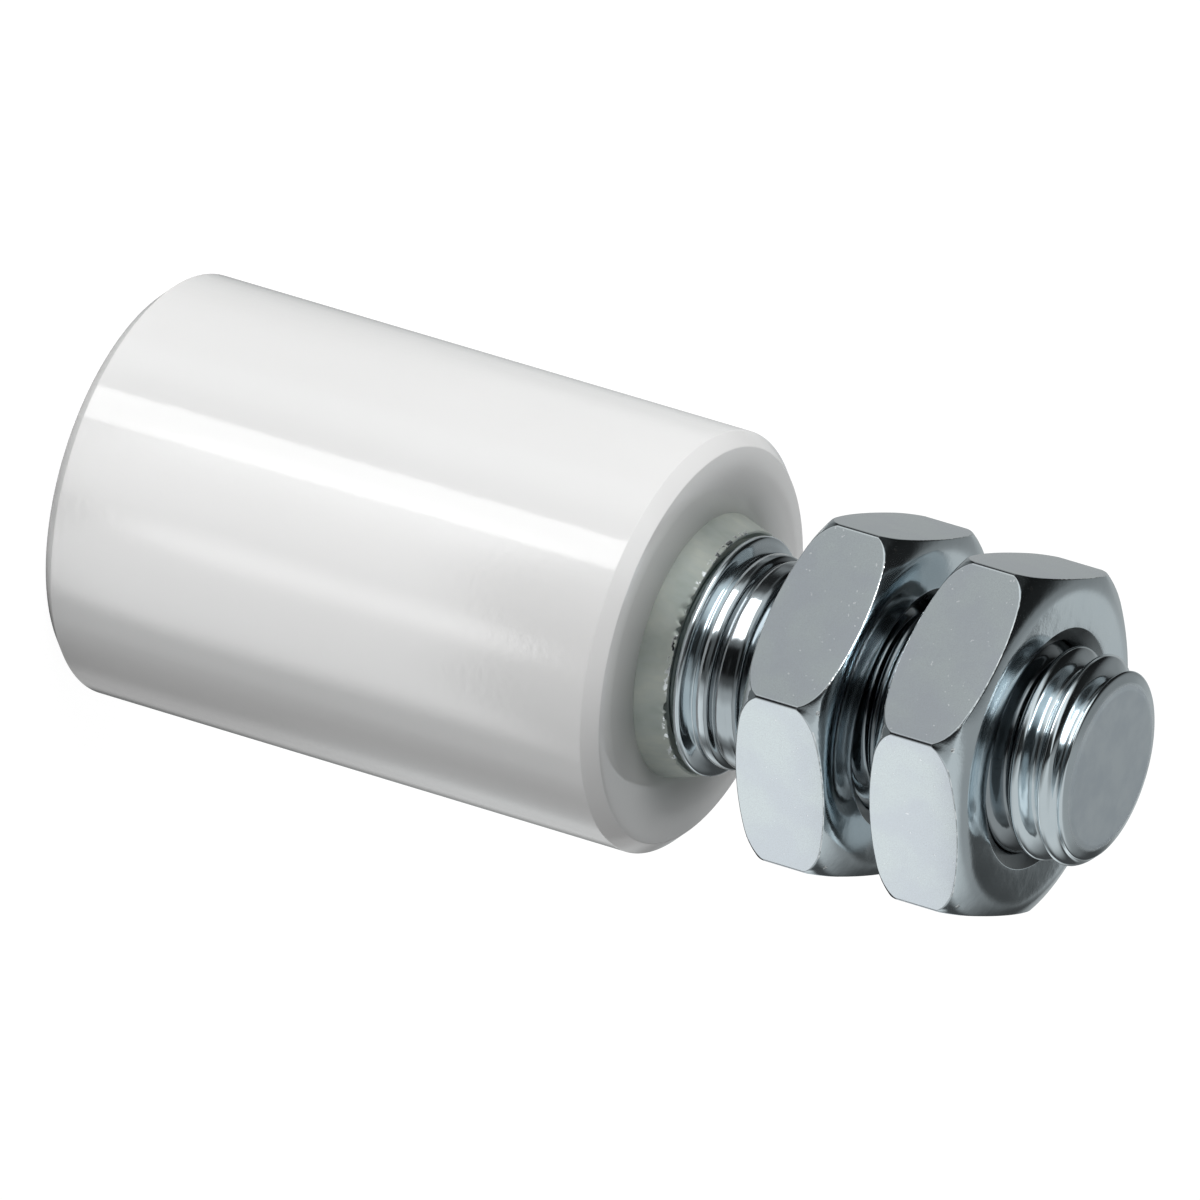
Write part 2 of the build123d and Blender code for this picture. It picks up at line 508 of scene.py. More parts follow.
def build_camera():
    look = Vector((0, math.cos(CAMERA_LIFT), -math.sin(CAMERA_LIFT)))
    side = Vector((1, 0, 0))
    rise = Vector((0, math.sin(CAMERA_LIFT), math.cos(CAMERA_LIFT)))
    right = rise * math.cos(AXIS_FALL) - side * math.sin(AXIS_FALL)
    top = rise * -math.sin(AXIS_FALL) - side * math.cos(AXIS_FALL)
    data = bpy.data.cameras.new("camera")
    data.lens = LENS
    data.sensor_width = SENSOR
    data.clip_end = 20.0
    camera = bpy.data.objects.new("camera", data)
    bpy.context.scene.collection.objects.link(camera)
    middle = PICTURE_SIZE / 2
    step_right = (middle - FACE_PIXEL[0]) / PIXELS_PER_MM * MM
    step_up = (FACE_PIXEL[1] - middle) / PIXELS_PER_MM * MM
    target = Vector((0, 0, roller_top)) + right * step_right + top * step_up
    distance = PICTURE_SIZE / PIXELS_PER_MM * MM * LENS / SENSOR
    turned = Matrix((right, top, -look)).transposed().to_4x4()
    camera.matrix_world = Matrix.Translation(target - look * distance) @ turned
    bpy.context.scene.camera = camera
    return camera


camera = build_camera()
bpy.context.scene.view_settings.view_transform = "Standard"
print("camera", round(camera.location.length, 3), "m away")

# %% [markdown]
# Finishes. The photograph has white nylon and zinc plating in several states, from bright to dull. Image
# textures could carry the stains and dents, but they would have to be unwrapped and stored. Noise on object
# coordinates needs neither and stays with a piece when it moves. Three helpers serve every finish below:
# a noise value, a bump made of such values, and the shader that ends each tree.

# %% Grain and bump
def grain(tree, scale, detail=3.0, stretch=(1, 1, 1)):
    """A noise value from 0 to 1 on object coordinates; scale is in cycles for each metre."""
    place = tree.add("ShaderNodeTexCoord").outputs["Object"]
    mapped = tree.add("ShaderNodeMapping", None, {"Vector": place, "Scale": stretch})
    settings = {"Vector": mapped.outputs[0], "Scale": scale, "Detail": detail}
    node = tree.add("ShaderNodeTexNoise", None, settings)
    return Number(tree, node.outputs["Fac"])


def bumped(tree, height, distance):
    """A normal that follows a height, which counts in metres once it is multiplied by the distance."""
    sockets = {"Height": height, "Distance": distance, "Strength": 1.0}
    return tree.add("ShaderNodeBump", None, sockets).outputs["Normal"]


def finish_with(tree, sockets):
    shader = tree.add("ShaderNodeBsdfPrincipled", None, sockets)
    tree.add("ShaderNodeOutputMaterial", None, {"Surface": shader.outputs[0]})


print("grain, bumped and finish_with are ready")

# %% [markdown]
# White nylon. The turned bar is smooth and glossy but not a mirror, and softly uneven. It could be given
# light that wanders inside it, yet at this size that shows only as a softer shadow, so a plain glossy
# white with a faint cloud in its tone and its gloss does as well and renders faster.

# %% White nylon
def white_nylon():
    material, tree = new_material("white_nylon")
    cloud = grain(tree, 90.0)
    fine = grain(tree, 2600.0)
    tone = tree.mix(cloud, (0.79, 0.79, 0.785, 1), (0.82, 0.82, 0.818, 1))
    finish_with(tree, {
        "Base Color": tone,
        "Roughness": cloud * 0.05 + 0.07,
        "IOR": 1.53,
        "Normal": bumped(tree, fine, 0.000004),
    })
    return material


nylon = white_nylon()
print("finish", nylon.name)

# %% [markdown]
# Bright zinc. A rolled thread is the brightest part of the plating: a cold, bluish mirror with streaks that
# run round the stud. One plain metal would look newly polished all over. So the height along the stud also
# steers the finish: between the nuts and in the neck its colour is darkened, which is painted shade, and it
# is matt and grey at the end, which was sawn and not rolled.

# %% Bright zinc
SAWN_DEPTH = (0.14 * MM, 0.04 * MM)
# How far the colour is darkened between the nuts and in the neck: painted shade.
GAP_SHADE_DARK, NECK_SHADE_DARK = 0.7, 0.55


def bright_zinc():
    """Plated steel as it was rolled: bright, a little wavy, with painted shade by the nuts and in the neck,
    matt at the sawn end.
    """
    material, tree = new_material("bright_zinc")
    height = tree.parts(tree.add("ShaderNodeTexCoord").outputs["Object"])[2]
    sawn = height.step(*(stud_high.z - depth for depth in SAWN_DEPTH))
    first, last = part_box("inner_nut")[1].z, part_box("outer_nut")[1].z
    # Painted shade: between the nuts and in the neck the colour is darkened towards a dark grey.
    gap_shade = height.between(first - 0.5 * MM, first + 0.3 * MM, last, last + 1.4 * MM)
    cloud = grain(tree, 700.0)
    streaks = grain(tree, 800.0, 2.0, (0.4, 0.4, 1.6))
    tone = tree.mix(cloud, (0.7, 0.77, 0.81, 1), (0.82, 0.88, 0.91, 1))
    neck_start = shoulder_start + 0.8 * MM
    neck = height.between(neck_start, neck_start + 1.4 * MM, last, last + 0.1 * MM) * (1 - gap_shade)
    tone = tree.mix(gap_shade * GAP_SHADE_DARK + neck * NECK_SHADE_DARK, tone, (0.16, 0.17, 0.18, 1))
    matt = tree.mix(cloud.step(0.3, 0.7), (0.44, 0.5, 0.54, 1), (0.5, 0.56, 0.59, 1))
    finish_with(tree, {
        "Base Color": tree.mix(sawn, tone, matt),
        "Metallic": 1 - sawn * 0.65,
        "Roughness": cloud * 0.1 + 0.05 + sawn * 0.4,
        "Normal": bumped(tree, streaks * (1 - sawn * 0.8), 0.00003),
    })
    return material


bright = bright_zinc()
print("finish", bright.name)

# %% [markdown]
# Dull zinc. The bush was plated in another bath and shows a blotchy grey-green with lines from drawing
# along it. Its struck rim is torn in places, where bare metal glints. Loose flakes could be modelled there,
# but each would be smaller than a pixel, so a mask near the rim turns the finish bright instead.

# %% Dull zinc
def dull_zinc():
    """Blotchy grey-green plating with drawn lines; bare metal glints where the rim is torn."""
    material, tree = new_material("dull_zinc")
    cloud = grain(tree, 420.0, 6.0)
    lines = grain(tree, 2600.0, 2.0, (1, 1, 0.3))
    rim = tree.parts(tree.add("ShaderNodeTexCoord").outputs["Object"])[2]
    patch = grain(tree, 260.0, 1.0).step(0.54, 0.6)
    near_rim = rim.step(bush_high.z - 0.3 * MM, bush_high.z - 0.12 * MM)
    torn = near_rim * patch * grain(tree, 3200.0).step(0.52, 0.56)
    tone = tree.mix(cloud.step(0.3, 0.7), (0.36, 0.4, 0.37, 1), (0.51, 0.54, 0.49, 1))
    tone = tree.mix(lines.step(0.35, 0.65) * 0.5, tone, (0.43, 0.47, 0.45, 1))
    finish_with(tree, {
        "Base Color": tree.mix(torn, tone, (0.95, 0.97, 0.98, 1)),
        "Metallic": torn * 0.55 + 0.45,
        "Roughness": (cloud * 0.2 + 0.38) * (1 - torn * 0.75),
        "Normal": bumped(tree, lines * 0.4 + cloud, 0.00003),
    })
    return material


dull = dull_zinc()
print("finish", dull.name)

# %% [markdown]
# The finishes of the nuts. A nut is cut from drawn hexagon bar, turned on both faces, tapped and tumbled,
# so one metal for all of it would look wrong. Its flats are smooth with a fine grain and tiny dents, its
# faces are bright from turning, its bore is painted dark as shade, and each flat's rim was knocked in the
# barrel.

# %% Finishes of the nuts
def nut_flat_zinc():
    """Drawn bar that was tumbled: smooth, with a fine grain, a cloudy tint and a few tiny dents."""
    material, tree = new_material("nut_flat_zinc")
    cloud = grain(tree, 380.0, 5.0)
    fine = grain(tree, 15000.0, 2.0)
    dent = grain(tree, 4200.0, 1.0).step(0.73, 0.77)
    tone = tree.mix(cloud.step(0.35, 0.65), (0.69, 0.72, 0.765, 1), (0.735, 0.78, 0.79, 1))
    grey = tree.mix(fine.step(0.3, 0.7) * 0.5, tone, (0.64, 0.655, 0.68, 1))
    finish_with(tree, {
        "Base Color": tree.mix(dent * 0.7, grey, (0.97, 0.97, 0.99, 1)),
        "Metallic": 1.0,
        "Roughness": fine * 0.06 + 0.13,
        "Normal": bumped(tree, fine * 0.3 + cloud * 1.2 - dent * 0.6, 0.000004),
    })
    return material


def nut_edge_zinc():
    """The rim between a flat and the turned face: knocked bright, with small facets."""
    material, tree = new_material("nut_edge_zinc")
    cloud = grain(tree, 1500.0)
    knocks = grain(tree, 3500.0, 2.0)
    tone = tree.mix(cloud.step(0.4, 0.6), (0.5, 0.53, 0.54, 1), (0.95, 0.97, 0.98, 1))
    finish_with(tree, {
        "Base Color": tone,
        "Metallic": 1.0,
        "Roughness": cloud * 0.1 + 0.1,
        "Normal": bumped(tree, knocks, 0.00004),
    })
    return material


def nut_turned_zinc():
    """The turned faces and chamfers: bright and hardly uneven."""
    material, tree = new_material("nut_turned_zinc")
    cloud = grain(tree, 500.0)
    fine = grain(tree, 9000.0)
    tone = tree.mix(cloud, (0.66, 0.73, 0.77, 1), (0.74, 0.8, 0.83, 1))
    finish_with(tree, {
        "Base Color": tone,
        "Metallic": 1.0,
        "Roughness": cloud * 0.06 + 0.08,
        "Normal": bumped(tree, fine * 0.1 + cloud, 0.00002),
    })
    return material


def nut_bore_zinc():
    """The sunk bore, painted dark as shade."""
    material, tree = new_material("nut_bore_zinc")
    cloud = grain(tree, 1200.0)
    tone = tree.mix(cloud, (0.2, 0.22, 0.23, 1), (0.34, 0.36, 0.37, 1))
    finish_with(tree, {"Base Color": tone, "Metallic": 1.0, "Roughness": cloud * 0.2 + 0.2})
    return material


nut_flat = nut_flat_zinc()
nut_turned = nut_turned_zinc()
nut_edge = nut_edge_zinc()
bore_shade = nut_bore_zinc()
print("finishes", [material.name for material in (nut_flat, nut_turned, nut_edge, bore_shade)])

# %% [markdown]
# Spring steel. Retaining rings are usually phosphated, which leaves them nearly black and slightly matt.
# The photograph hides the ring, so a plain dark metal with a faint cloud is enough.

# %% Dark spring steel
def dark_spring_steel():
    material, tree = new_material("dark_spring_steel")
    cloud = grain(tree, 900.0)
    tone = tree.mix(cloud, (0.1, 0.1, 0.11, 1), (0.17, 0.17, 0.18, 1))
    finish_with(tree, {"Base Color": tone, "Metallic": 0.8, "Roughness": cloud * 0.2 + 0.35})
    return material


spring = dark_spring_steel()
print("finish", spring.name)

# %% [markdown]
# Turned shapes. A lathe makes them from a half section, and so does this. A Screw modifier with a Bevel
# could too, but every corner would then get the same round. Here the section is a list of radius and
# height, each corner may have its own small round that catches light, and the result is spun into rings
# of vertices. Rounded corners are what sets a machined part apart from a drawing of one.

# %% Lathe
TINY = 1e-9
NEARLY_STRAIGHT = math.radians(176)
ROUND_SHARE = 0.45


def rounded(points, radius, steps=4):
    """The closed section with every corner turned into a small arc; corners on the axis stay sharp."""
    result = []
    count = len(points)
    for i, corner in enumerate(points):
        before = Vector(points[i - 1][:2])
        here = Vector(corner[:2])
        after = Vector(points[(i + 1) % count][:2])
        reach = corner[2] if len(corner) > 2 else radius
        to_before, to_after = before - here, after - here
        angle = to_before.angle(to_after)
        if here.x < TINY or reach <= 0 or angle > NEARLY_STRAIGHT:
            result.append(here)
            continue
        room = (to_before.length * ROUND_SHARE, to_after.length * ROUND_SHARE)
        cut = min(reach / math.tan(angle / 2), *room)
        start = here + to_before.normalized() * cut
        end = here + to_after.normalized() * cut
        for k in range(steps + 1):
            share = k / steps
            bend = start.lerp(here, share).lerp(here.lerp(end, share), share)
            result.append(bend)
    return result


def refine(points, longest, low, high):
    """Extra points on the section's long edges between two heights, where vertices will be moved."""
    result = []
    for i, here in enumerate(points):
        after = points[(i + 1) % len(points)]
        result.append(here)
        if min(here.y, after.y) < low - TINY or max(here.y, after.y) > high + TINY:
            continue
        if here.x < TINY or after.x < TINY:
            continue
        pieces = int((after - here).length / longest)
        result += [here.lerp(after, k / (pieces + 1)) for k in range(1, pieces + 1)]
    return result


def spun(name, section, around):
    """A mesh object of revolution about Z from a closed section of (radius, height)."""
    vertices, faces, rings = [], [], []
    for point in section:
        if point.x < TINY:
            rings.append([len(vertices)])
            vertices.append((0, 0, point.y))
            continue
        rings.append(list(range(len(vertices), len(vertices) + around)))
        for k in range(around):
            angle = 2 * math.pi * k / around
            vertices.append((point.x * math.cos(angle), point.x * math.sin(angle), point.y))
    for i, ring in enumerate(rings):
        other = rings[(i + 1) % len(rings)]
        if len(ring) == 1 and len(other) == 1:
            continue
        for k in range(around):
            after = (k + 1) % around
            if len(ring) == 1:
                faces.append((ring[0], other[after], other[k]))
            elif len(other) == 1:
                faces.append((ring[k], ring[after], other[0]))
            else:
                faces.append((ring[k], ring[after], other[after], other[k]))
    return new_piece(name, vertices, faces)


def new_piece(name, vertices, faces):
    """A smooth-shaded object at the origin, with its place in its mesh."""
    mesh = bpy.data.meshes.new(name)
    mesh.from_pydata(vertices, [], faces)
    mesh.validate()
    mesh.update()
    piece = bpy.data.objects.new(name, mesh)
    bpy.context.scene.collection.objects.link(piece)
    mesh.shade_smooth()
    return piece


def settle(piece, body, slot, replaced, *materials):
    """Gives a piece its body and, if it has none, its materials, and hides the node it stands for. The slot
    is not used.
    """
    if not piece.data.materials:
        for material in materials:
            piece.data.materials.append(material)
    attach(piece, body)
    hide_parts(replaced)
    triangles = sum(len(face.vertices) - 2 for face in piece.data.polygons)
    print(piece.name, triangles, "triangles")


print("lathe ready")

# %% [markdown]
# The roller. It is turned nylon bar: a cylinder with its rims chamfered, bored for the bush, with a
# counterbore at the closed end that hides the washer and the ring. A cylinder primitive with a Bevel would
# give the outside, but not the bore and the counterbore, so it comes from the lathe in one section.

# %% Nylon roller
AROUND = 256
bush_radius = bush_high.x
WASHER_CLEARANCE = 0.7 * MM
recess_radius = washer_high.x + WASHER_CLEARANCE
recess_depth = bush_low.z
rim_radius = roller_radius - roller_chamfer
edge_round = 0.12 * MM

roller_section = rounded([
    (recess_radius, 0),
    (rim_radius, 0),
    (roller_radius, roller_chamfer),
    (roller_radius, roller_top - roller_chamfer),
    (rim_radius, roller_top),
    (bush_radius, roller_top, 0),
    (bush_radius, recess_depth, 0),
    (recess_radius, recess_depth),
], edge_round)
roller = spun("roller_white", roller_section, AROUND)
settle(roller, "roller", "nylon", "nylon_roller", nylon)

# %% [markdown]
# The bush. Its end stands proud of the nylon and is burred where it was struck home, so the edge next to
# the stud's shoulder is ragged. A Displace modifier could do that, but it pushes outwards too. Here noise
# only ever lowers or narrows the rim, so the burr stays inside the solid's box and clear of the shoulder.

# %% Sleeve bush
BUSH_TAPER = 0.55 * MM
BUSH_WALL_BORE = 6.0 * MM
BUSH_LIP = 0.12 * MM
BUSH_AROUND = 640
RIM_DEPTH = 0.35 * MM
BURR_ZONE = 0.45 * MM
BURR_DEPTH = 0.26 * MM
BURR_SCALE = 330.0
CHIP_SCALE = BURR_SCALE * 6
RAGGED_SCALE = BURR_SCALE * 7
RAGGED_DEPTH = 0.08 * MM
BURR_START = BUSH_WALL_BORE + 0.3 * MM

bush_section = rounded([
    (BUSH_WALL_BORE, bush_low.z),
    (bush_radius, bush_low.z),
    (bush_radius, roller_top, 0),
    (bush_radius - BUSH_TAPER, bush_high.z, 0.04 * MM),
    (bush_radius - BUSH_TAPER - BUSH_LIP, bush_high.z, 0.03 * MM),
    (BUSH_WALL_BORE + 0.45 * MM, bush_high.z - RIM_DEPTH, 0.05 * MM),
    (BUSH_WALL_BORE, bush_high.z - RIM_DEPTH, 0.05 * MM),
], 0.1 * MM)
bush = spun("bush_sleeve", refine(bush_section, 0.08 * MM, roller_top, bush_high.z), BUSH_AROUND)
for vertex in bush.data.vertices:
    place = vertex.co
    nearness = max(0.0, 1 - (bush_high.z - place.z) / BURR_ZONE)
    if nearness > 0 and math.hypot(place.x, place.y) > BURR_START:
        around = Vector((place.x, place.y, 0))
        worn = min(1.0, max(0.0, noise.noise(around * BURR_SCALE) * 3.5 - 0.15))
        chip = min(1.0, abs(noise.noise(around * CHIP_SCALE)) * 2.5)
        ragged = noise.noise(place * RAGGED_SCALE) * RAGGED_DEPTH
        lowered = Vector((0, 0, worn * chip * nearness * BURR_DEPTH))
        vertex.co = place - lowered - around.normalized() * abs(ragged) * worn * nearness
settle(bush, "roller", "dull_zinc", "sleeve_bush", dull)

# %% [markdown]
# The stud. The lathe gives the journal, the ribbed shoulder, the waisted neck, the crest of the thread and
# the rounded tip. Straight lines between the ribs would each mirror one card and look like a stack of
# rings, so the neck is a smooth curve through a few points instead. Where the thread will be cut, the
# section gets many more rows than its shape needs.

# %% Stud blank
PITCH = 1.75 * MM
THREAD_DEPTH = 1.0 * MM
THREAD_PHASE = 0.35
ROWS_FOR_EACH_TURN = 18
journal_radius = 5.95 * MM
groove_radius = 5.75 * MM
groove_width = 1.1 * MM
tail_chamfer = 0.5 * MM
shoulder_radius = stud_high.x
thread_start = shoulder_start + 2.65 * MM
tip_round_length = 1.25 * MM
tip_face_radius = crest_radius - 1.55 * MM


def smooth_through(points, steps):
    """A smooth curve through the points: one cubic from each to the next, with matching slopes."""
    result = [Vector(points[0])]
    for i in range(len(points) - 1):
        before, start = Vector(points[max(i - 1, 0)]), Vector(points[i])
        end, after = Vector(points[i + 1]), Vector(points[min(i + 2, len(points) - 1)])
        for k in range(1, steps + 1):
            t = k / steps
            result.append(0.5 * (
                2 * start + (end - before) * t + (2 * before - 5 * start + 4 * end - after) * t ** 2
                + (3 * start - before - 3 * end + after) * t ** 3
            ))
    return result


# How far out and how far above the shoulder's start each point lies, in millimetres. The shoulder
# counts outwards from its own radius and the neck from the crest of the thread.
SHOULDER = [(-0.32, 0), (-0.08, 0.14), (0, 0.36), (-0.08, 0.58)]
NECK = [
    (0.3, 0.76), (-0.02, 0.92), (0.1, 1.08), (0.17, 1.3), (0.18, 1.6), (0.12, 1.88),
    (-0.2, 2.12), (-0.04, 2.34), (0, 2.6), (0, 2.95),
]
ribs = smooth_through([
    (radius + out * MM, shoulder_start + up * MM)
    for radius, points in ((shoulder_radius, SHOULDER), (crest_radius, NECK))
    for out, up in points
], 6)
tail = [
    (0, stud_low.z),
    (journal_radius - tail_chamfer, stud_low.z),
    (journal_radius, stud_low.z + tail_chamfer),
    (journal_radius, ring_low.z, 0.02 * MM),
    (groove_radius, ring_low.z, 0.02 * MM),
    (groove_radius, ring_low.z + groove_width, 0.02 * MM),
    (journal_radius, ring_low.z + groove_width, 0.02 * MM),
    (journal_radius, shoulder_start, 0.05 * MM),
]
tip = [
    (crest_radius, stud_high.z - tip_round_length, 1.0 * MM),
    (crest_radius - 0.45 * MM, stud_high.z - 0.35 * MM, 0.8 * MM),
    (tip_face_radius, stud_high.z, 0.5 * MM),
    (0, stud_high.z),
]
stud_section = rounded(tail + [(*point, 0) for point in ribs] + tip, 0.05 * MM, 6)
stud_section = refine(stud_section, PITCH / ROWS_FOR_EACH_TURN, shoulder_start, stud_high.z)
stud = spun("stud_threaded", stud_section, AROUND)
print("stud blank", len(stud.data.vertices), "vertices")

# %% [markdown]
# The thread. A thread is a rule: how deep the metal is at a point depends only on its height and its
# angle. A Screw modifier could sweep a profile, but joining that to the blank and letting it run out at
# both ends is awkward. A Geometry Nodes tree moves each vertex of the blank towards the axis by the depth
# that the rule gives, and fades the cut in at the neck and out at the tip, as a rolled thread does.

# %% Thread by rule
THREAD_FLANK = (0.06, 0.96)


def thread_tree():
    """Geometry Nodes: cut a helical thread into a turned blank, then set its material."""
    group = bpy.data.node_groups.new("cut_thread", "GeometryNodeTree")
    face = group.interface
    face.new_socket("Geometry", in_out="INPUT", socket_type="NodeSocketGeometry")
    for name in ("Pitch", "Depth", "Phase", "Start", "End", "Fade", "Core"):
        face.new_socket(name, in_out="INPUT", socket_type="NodeSocketFloat")
    face.new_socket("Finish", in_out="INPUT", socket_type="NodeSocketMaterial")
    face.new_socket("Geometry", in_out="OUTPUT", socket_type="NodeSocketGeometry")
    tree = Tree(group)
    given = tree.add("NodeGroupInput").outputs
    pitch, depth, phase, start, end, fade, core = [Number(tree, given[i]) for i in range(1, 8)]
    x, y, z = tree.parts(tree.add("GeometryNodeInputPosition").outputs[0])
    angle = y.math("ARCTAN2", x) / (2 * math.pi)
    wave = ((z / pitch - angle + phase).fraction() * 2 - 1).size()
    cut = wave.step(*THREAD_FLANK)
    shown = z.between(start, start + fade, end - fade * 0.5, end)
    move = cut * depth * shown * -1
    outward = tree.add("ShaderNodeCombineXYZ", None, {"X": x, "Y": y, "Z": 0.0})
    unit = tree.add("ShaderNodeVectorMath", {"operation": "NORMALIZE"}, {0: outward.outputs[0]})
    offset = tree.add("ShaderNodeVectorMath", {"operation": "SCALE"}, {0: unit.outputs[0], "Scale": move})
    outside = (x * x + y * y).math("SQRT").above(core)
    moved = tree.add("GeometryNodeSetPosition", None, {
        "Geometry": given[0], "Selection": outside, "Offset": offset.outputs[0],
    })
    real = tree.add("GeometryNodeRealizeInstances", None, {0: moved.outputs[0]})
    named = tree.add("GeometryNodeSetMaterial", None, {"Geometry": real.outputs[0], "Material": given[8]})
    tree.add("NodeGroupOutput", None, {0: named.outputs[0]})
    return group


def with_nodes(piece, group, values):
    """Runs a geometry tree on a piece and keeps the result as its plain mesh."""
    modifier = piece.modifiers.new(group.name, "NODES")
    modifier.node_group = group
    for item in group.interface.items_tree:
        if item.in_out == "INPUT" and item.name in values:
            modifier[item.identifier] = values[item.name]
    seen = piece.evaluated_get(bpy.context.evaluated_depsgraph_get())
    mesh = bpy.data.meshes.new_from_object(seen)
    piece.modifiers.remove(modifier)
    piece.data = mesh
    mesh.shade_smooth()


with_nodes(stud, thread_tree(), {
    "Pitch": PITCH,
    "Depth": THREAD_DEPTH,
    "Phase": THREAD_PHASE,
    "Start": thread_start + 0.3 * MM,
    "End": stud_high.z - 0.2 * MM,
    "Fade": 1.4 * MM,
    "Core": 3.5 * MM,
    "Finish": bright,
})
settle(stud, "stud", "bright_zinc", "axle_stud", bright)

# %% [markdown]
# The nuts. A nut is a hexagon turned on both faces, so each flat ends in a curved edge where the chamfer's
# cone meets it. A Boolean of a prism and a cone gives that edge too, but perfectly sharp and hard to bevel.
# Here the nut is a fan of half sections, one for each angle: the section's outer wall stands at the
# hexagon's distance for that angle, so the curved edges come out exact, and every edge has its own small
# round. The finish of a face follows from its slope and its distance from the axis.

# %% Hexagon nuts
NUT_FLATS = 19.0 * MM
NUT_FACE_STEPS = 16
NUT_CHAMFER_RADIUS = 9.15 * MM
NUT_CHAMFER_SLOPE = math.tan(math.radians(30))
NUT_CHAMFER_SOFT = 0.5 * MM
NUT_CORNER_CUT = 0.8 * MM
NUT_CORNER_DROP = 1.05 * MM
NUT_SINK = 0.85 * MM
NUT_SINK_ANGLE = math.radians(60)
NUT_CLEARANCE = 0.04 * MM
NUT_BORE = crest_radius + NUT_CLEARANCE
NUT_FACE_START = 0.3 * MM
NUT_FACE_CROWDING = 0.7
CORNER_ROUND = 0.3 * MM
EDGE_ROUND = 0.32 * MM
TURNED, FLAT, BORE, EDGE = range(4)
UPRIGHT, SLOPING = 0.3, 0.8
BORE_END = NUT_BORE + NUT_SINK * 0.93
KNOCKED_EDGE_END = NUT_FLATS / 2 / math.cos(math.radians(23))


def hexagon_reach(angle):
    """Distance from the axis to a rounded hexagon's wall, with a corner at angle 0."""
    half = NUT_FLATS / 2
    off = abs((angle + math.pi / 6) % (math.pi / 3) - math.pi / 6)
    centre = (half - CORNER_ROUND) / math.cos(math.pi / 6)
    along = centre * math.cos(off)
    root = CORNER_ROUND ** 2 - (centre * math.sin(off)) ** 2
    flat = half / math.cos(math.pi / 6 - off)
    if root < 0:
        return flat
    curve = along + math.sqrt(root)
    touch = math.atan2(CORNER_ROUND * math.sin(math.pi / 6), centre + CORNER_ROUND * math.cos(math.pi / 6))
    return curve if off < touch else flat


def nut_angles():
    """Angles round the nut, close together at the corners and wider apart on the flats."""
    share = [0, 0.15, 0.3, 0.5, 0.7, 0.9, 1.2, 1.7, 2.6, 4, 6, 8.5, 11.5, 15, 19, 23, 26.5]
    one = sorted({*share, *(60 - s for s in share), 30.0})[:-1]
    return [math.radians(60 * side + angle) for side in range(6) for angle in one]


def face_drop(out):
    """How far the nut's end has fallen at a distance from the axis: flat, then a soft bend to a cone."""
    past = out - NUT_CHAMFER_RADIUS
    cone = NUT_CHAMFER_SLOPE * (math.sqrt(past ** 2 + NUT_CHAMFER_SOFT ** 2) + past) / 2
    corner_reach = NUT_FLATS / 2 / math.cos(math.pi / 6)
    near = max(0.0, (out - corner_reach + NUT_CORNER_CUT) / NUT_CORNER_CUT)
    return cone + NUT_CORNER_DROP * (1 - math.sqrt(1 - min(near, 1.0) ** 2))


def nut_section(base, top, reach):
    """The nut's half section where its wall stands at reach: sunk bore, face, chamfer and wall."""
    sink = NUT_BORE + NUT_SINK
    sink_depth = NUT_SINK / math.tan(NUT_SINK_ANGLE)
    flat_end = sink + NUT_FACE_START
    face = []
    for step in range(NUT_FACE_STEPS + 1):
        out = flat_end + (reach - flat_end) * (step / NUT_FACE_STEPS) ** NUT_FACE_CROWDING
        rounding = EDGE_ROUND if step == NUT_FACE_STEPS else 0
        face.append((out, face_drop(out) - face_drop(flat_end), rounding))
    lower = [(out, base + drop, edge) for out, drop, edge in face]
    upper = [(out, top - drop, edge) for out, drop, edge in reversed(face)]
    corners = [(NUT_BORE, base + sink_depth, EDGE_ROUND), (sink, base, 0.08 * MM)]
    corners += lower + upper
    corners += [(sink, top, 0.08 * MM), (NUT_BORE, top - sink_depth, EDGE_ROUND)]
    return rounded(corners, EDGE_ROUND, 5)


def corner_angle(node):
    """The angle of the point of a nut's solid farthest from the axis, which is a corner."""
    farthest = max(nodes[node].data.vertices, key=lambda v: round(v.co.x ** 2 + v.co.y ** 2, 12))
    return math.atan2(farthest.co.y, farthest.co.x)


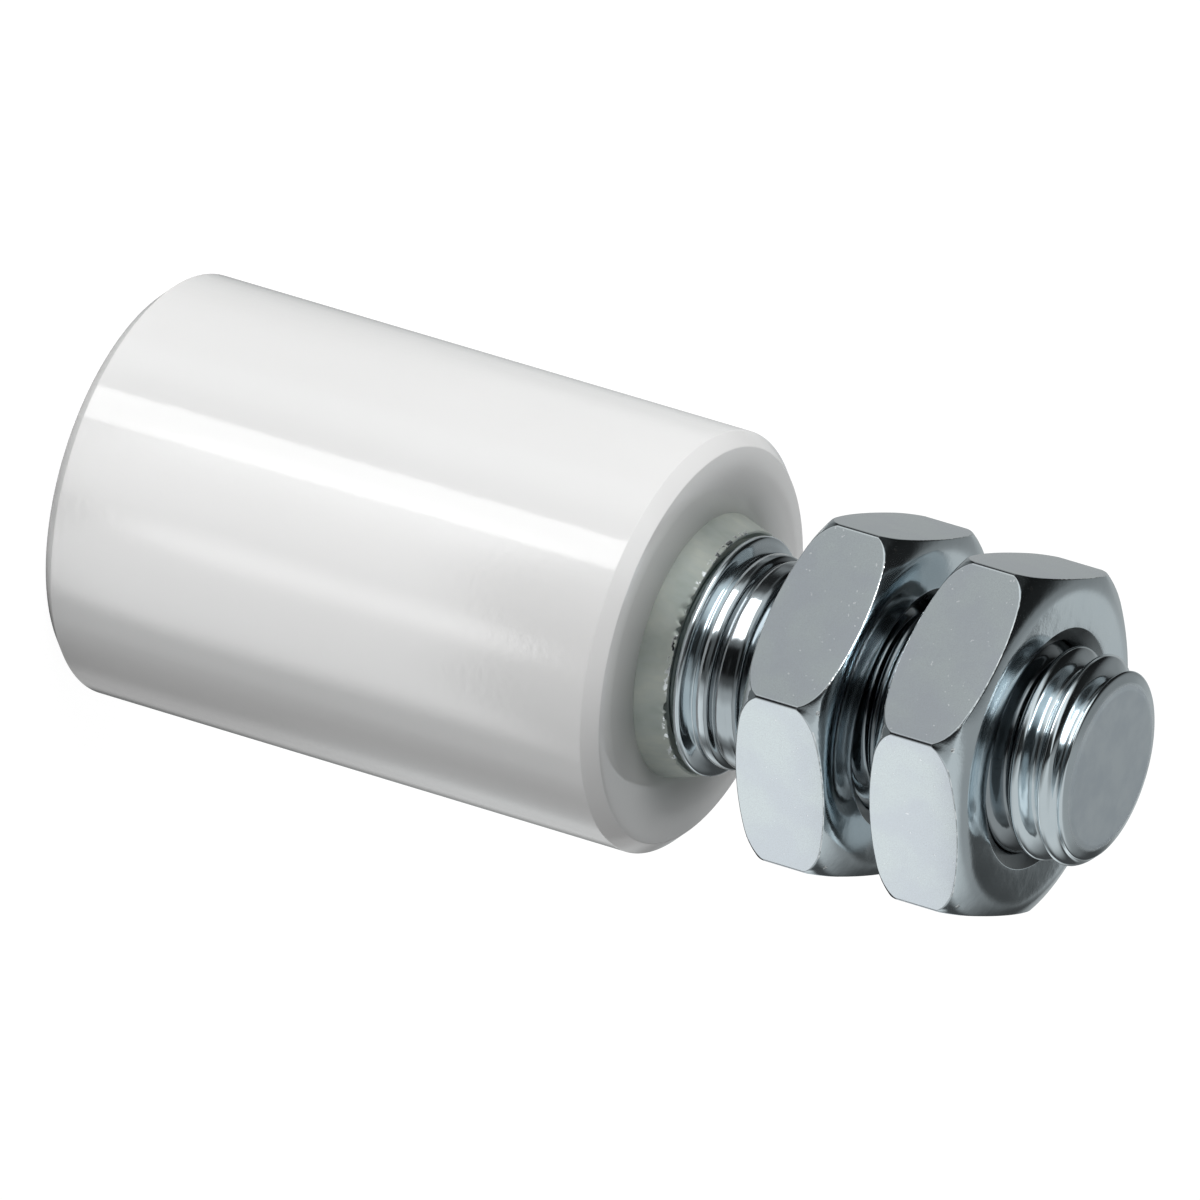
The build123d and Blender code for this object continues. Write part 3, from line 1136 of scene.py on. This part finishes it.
def hexagon_nut(name, node):
    """A nut with the height of the node's solid and its corners at the same angles."""
    low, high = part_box(node)
    corner = corner_angle(node)
    angles = nut_angles()
    vertices, faces = [], []
    for angle in angles:
        for point in nut_section(low.z, high.z, hexagon_reach(angle)):
            turn = angle + corner
            vertices.append((point.x * math.cos(turn), point.x * math.sin(turn), point.y))
    rows = len(vertices) // len(angles)
    for i in range(len(angles)):
        for k in range(rows):
            after, up = (i + 1) % len(angles), (k + 1) % rows
            faces.append((i * rows + k, after * rows + k, after * rows + up, i * rows + up))
    nut = new_piece(name, vertices, faces)
    for material in (nut_turned, nut_flat, bore_shade, nut_edge):
        nut.data.materials.append(material)
    for polygon in nut.data.polygons:
        out = polygon.center.xy.length
        # The bore takes the finish that is painted dark as shade.
        if out < BORE_END:
            polygon.material_index = BORE
        elif abs(polygon.normal.z) < UPRIGHT:
            polygon.material_index = FLAT
        elif abs(polygon.normal.z) < SLOPING and out < KNOCKED_EDGE_END:
            polygon.material_index = EDGE
        else:
            polygon.material_index = TURNED
    settle(nut, node, "nut_zinc", node)
    return nut


inner_nut = hexagon_nut("nut_inner", "inner_nut")
hexagon_nut("nut_outer", "outer_nut")

# %% [markdown]
# The washer and the retaining ring sit in the counterbore and show only from below. They could be made
# again with rounded edges, but nobody sees them that close, and their solids have the right shape. So they
# keep it and only get a finish.

# %% Washer and ring
for node, material in (("thrust_washer", dull), ("retaining_ring", spring)):
    nodes[node].data.materials.clear()
    nodes[node].data.materials.append(material)
print("finished the washer and the ring")

# %% [markdown]
# Highlights. The pieces exist now, so the lamps that only show as highlights can be linked to them: a
# crisp line, two pale panels that fade into each other and a faint glow at the edge for the nylon, a gleam
# on the stud, and a glint on the knocked edge of the inner nut. Brighter cards in the tent could give the
# same lines, but on every piece at once. An upright wall mirrors what stands at MIRROR_LIFT, as far below
# the horizon as the camera is above it; the panels are narrow in height, so they show only to a camera
# that looks down as steeply as that.

# %% Highlights
MIRROR_LIFT = -25.2
PANEL_LIFT = -27.4
NUT_MIDDLE = 0.05
HIGHLIGHTS = [
    # (name, turn, lift, distance, width, height, radiance, aim), (soft sides, soft ends), piece
    (("strip", -32, MIRROR_LIFT, 0.25, 0.07, 0.4, 4.2, roller_middle), (0.02, 0.35), roller),
    (("edge_glow", 146, MIRROR_LIFT, 0.25, 0.18, 0.4, 0.45, roller_middle), (0.4, 0.02), roller),
    (("panel_middle", 2, PANEL_LIFT, 0.44, 0.594, 0.12, 3.1, roller_middle), (0.26, 0.21), roller),
    (("panel_side", 50, PANEL_LIFT, 0.44, 0.55, 0.12, 3.0, roller_middle), (0.27, 0.21), roller),
    (("gleam", -42, MIRROR_LIFT, 0.25, 0.2, 0.1, 3.2, NUT_MIDDLE), None, stud),
    (("glint", -59, 57, 0.25, 0.12, 0.12, 9.0, NUT_MIDDLE), None, inner_nut),
]
for values, softness, piece in HIGHLIGHTS:
    made = lamp(*values)
    if softness:
        soft_edges(made, *softness)
    highlight_only(made, piece)
print(len(HIGHLIGHTS), "highlights")
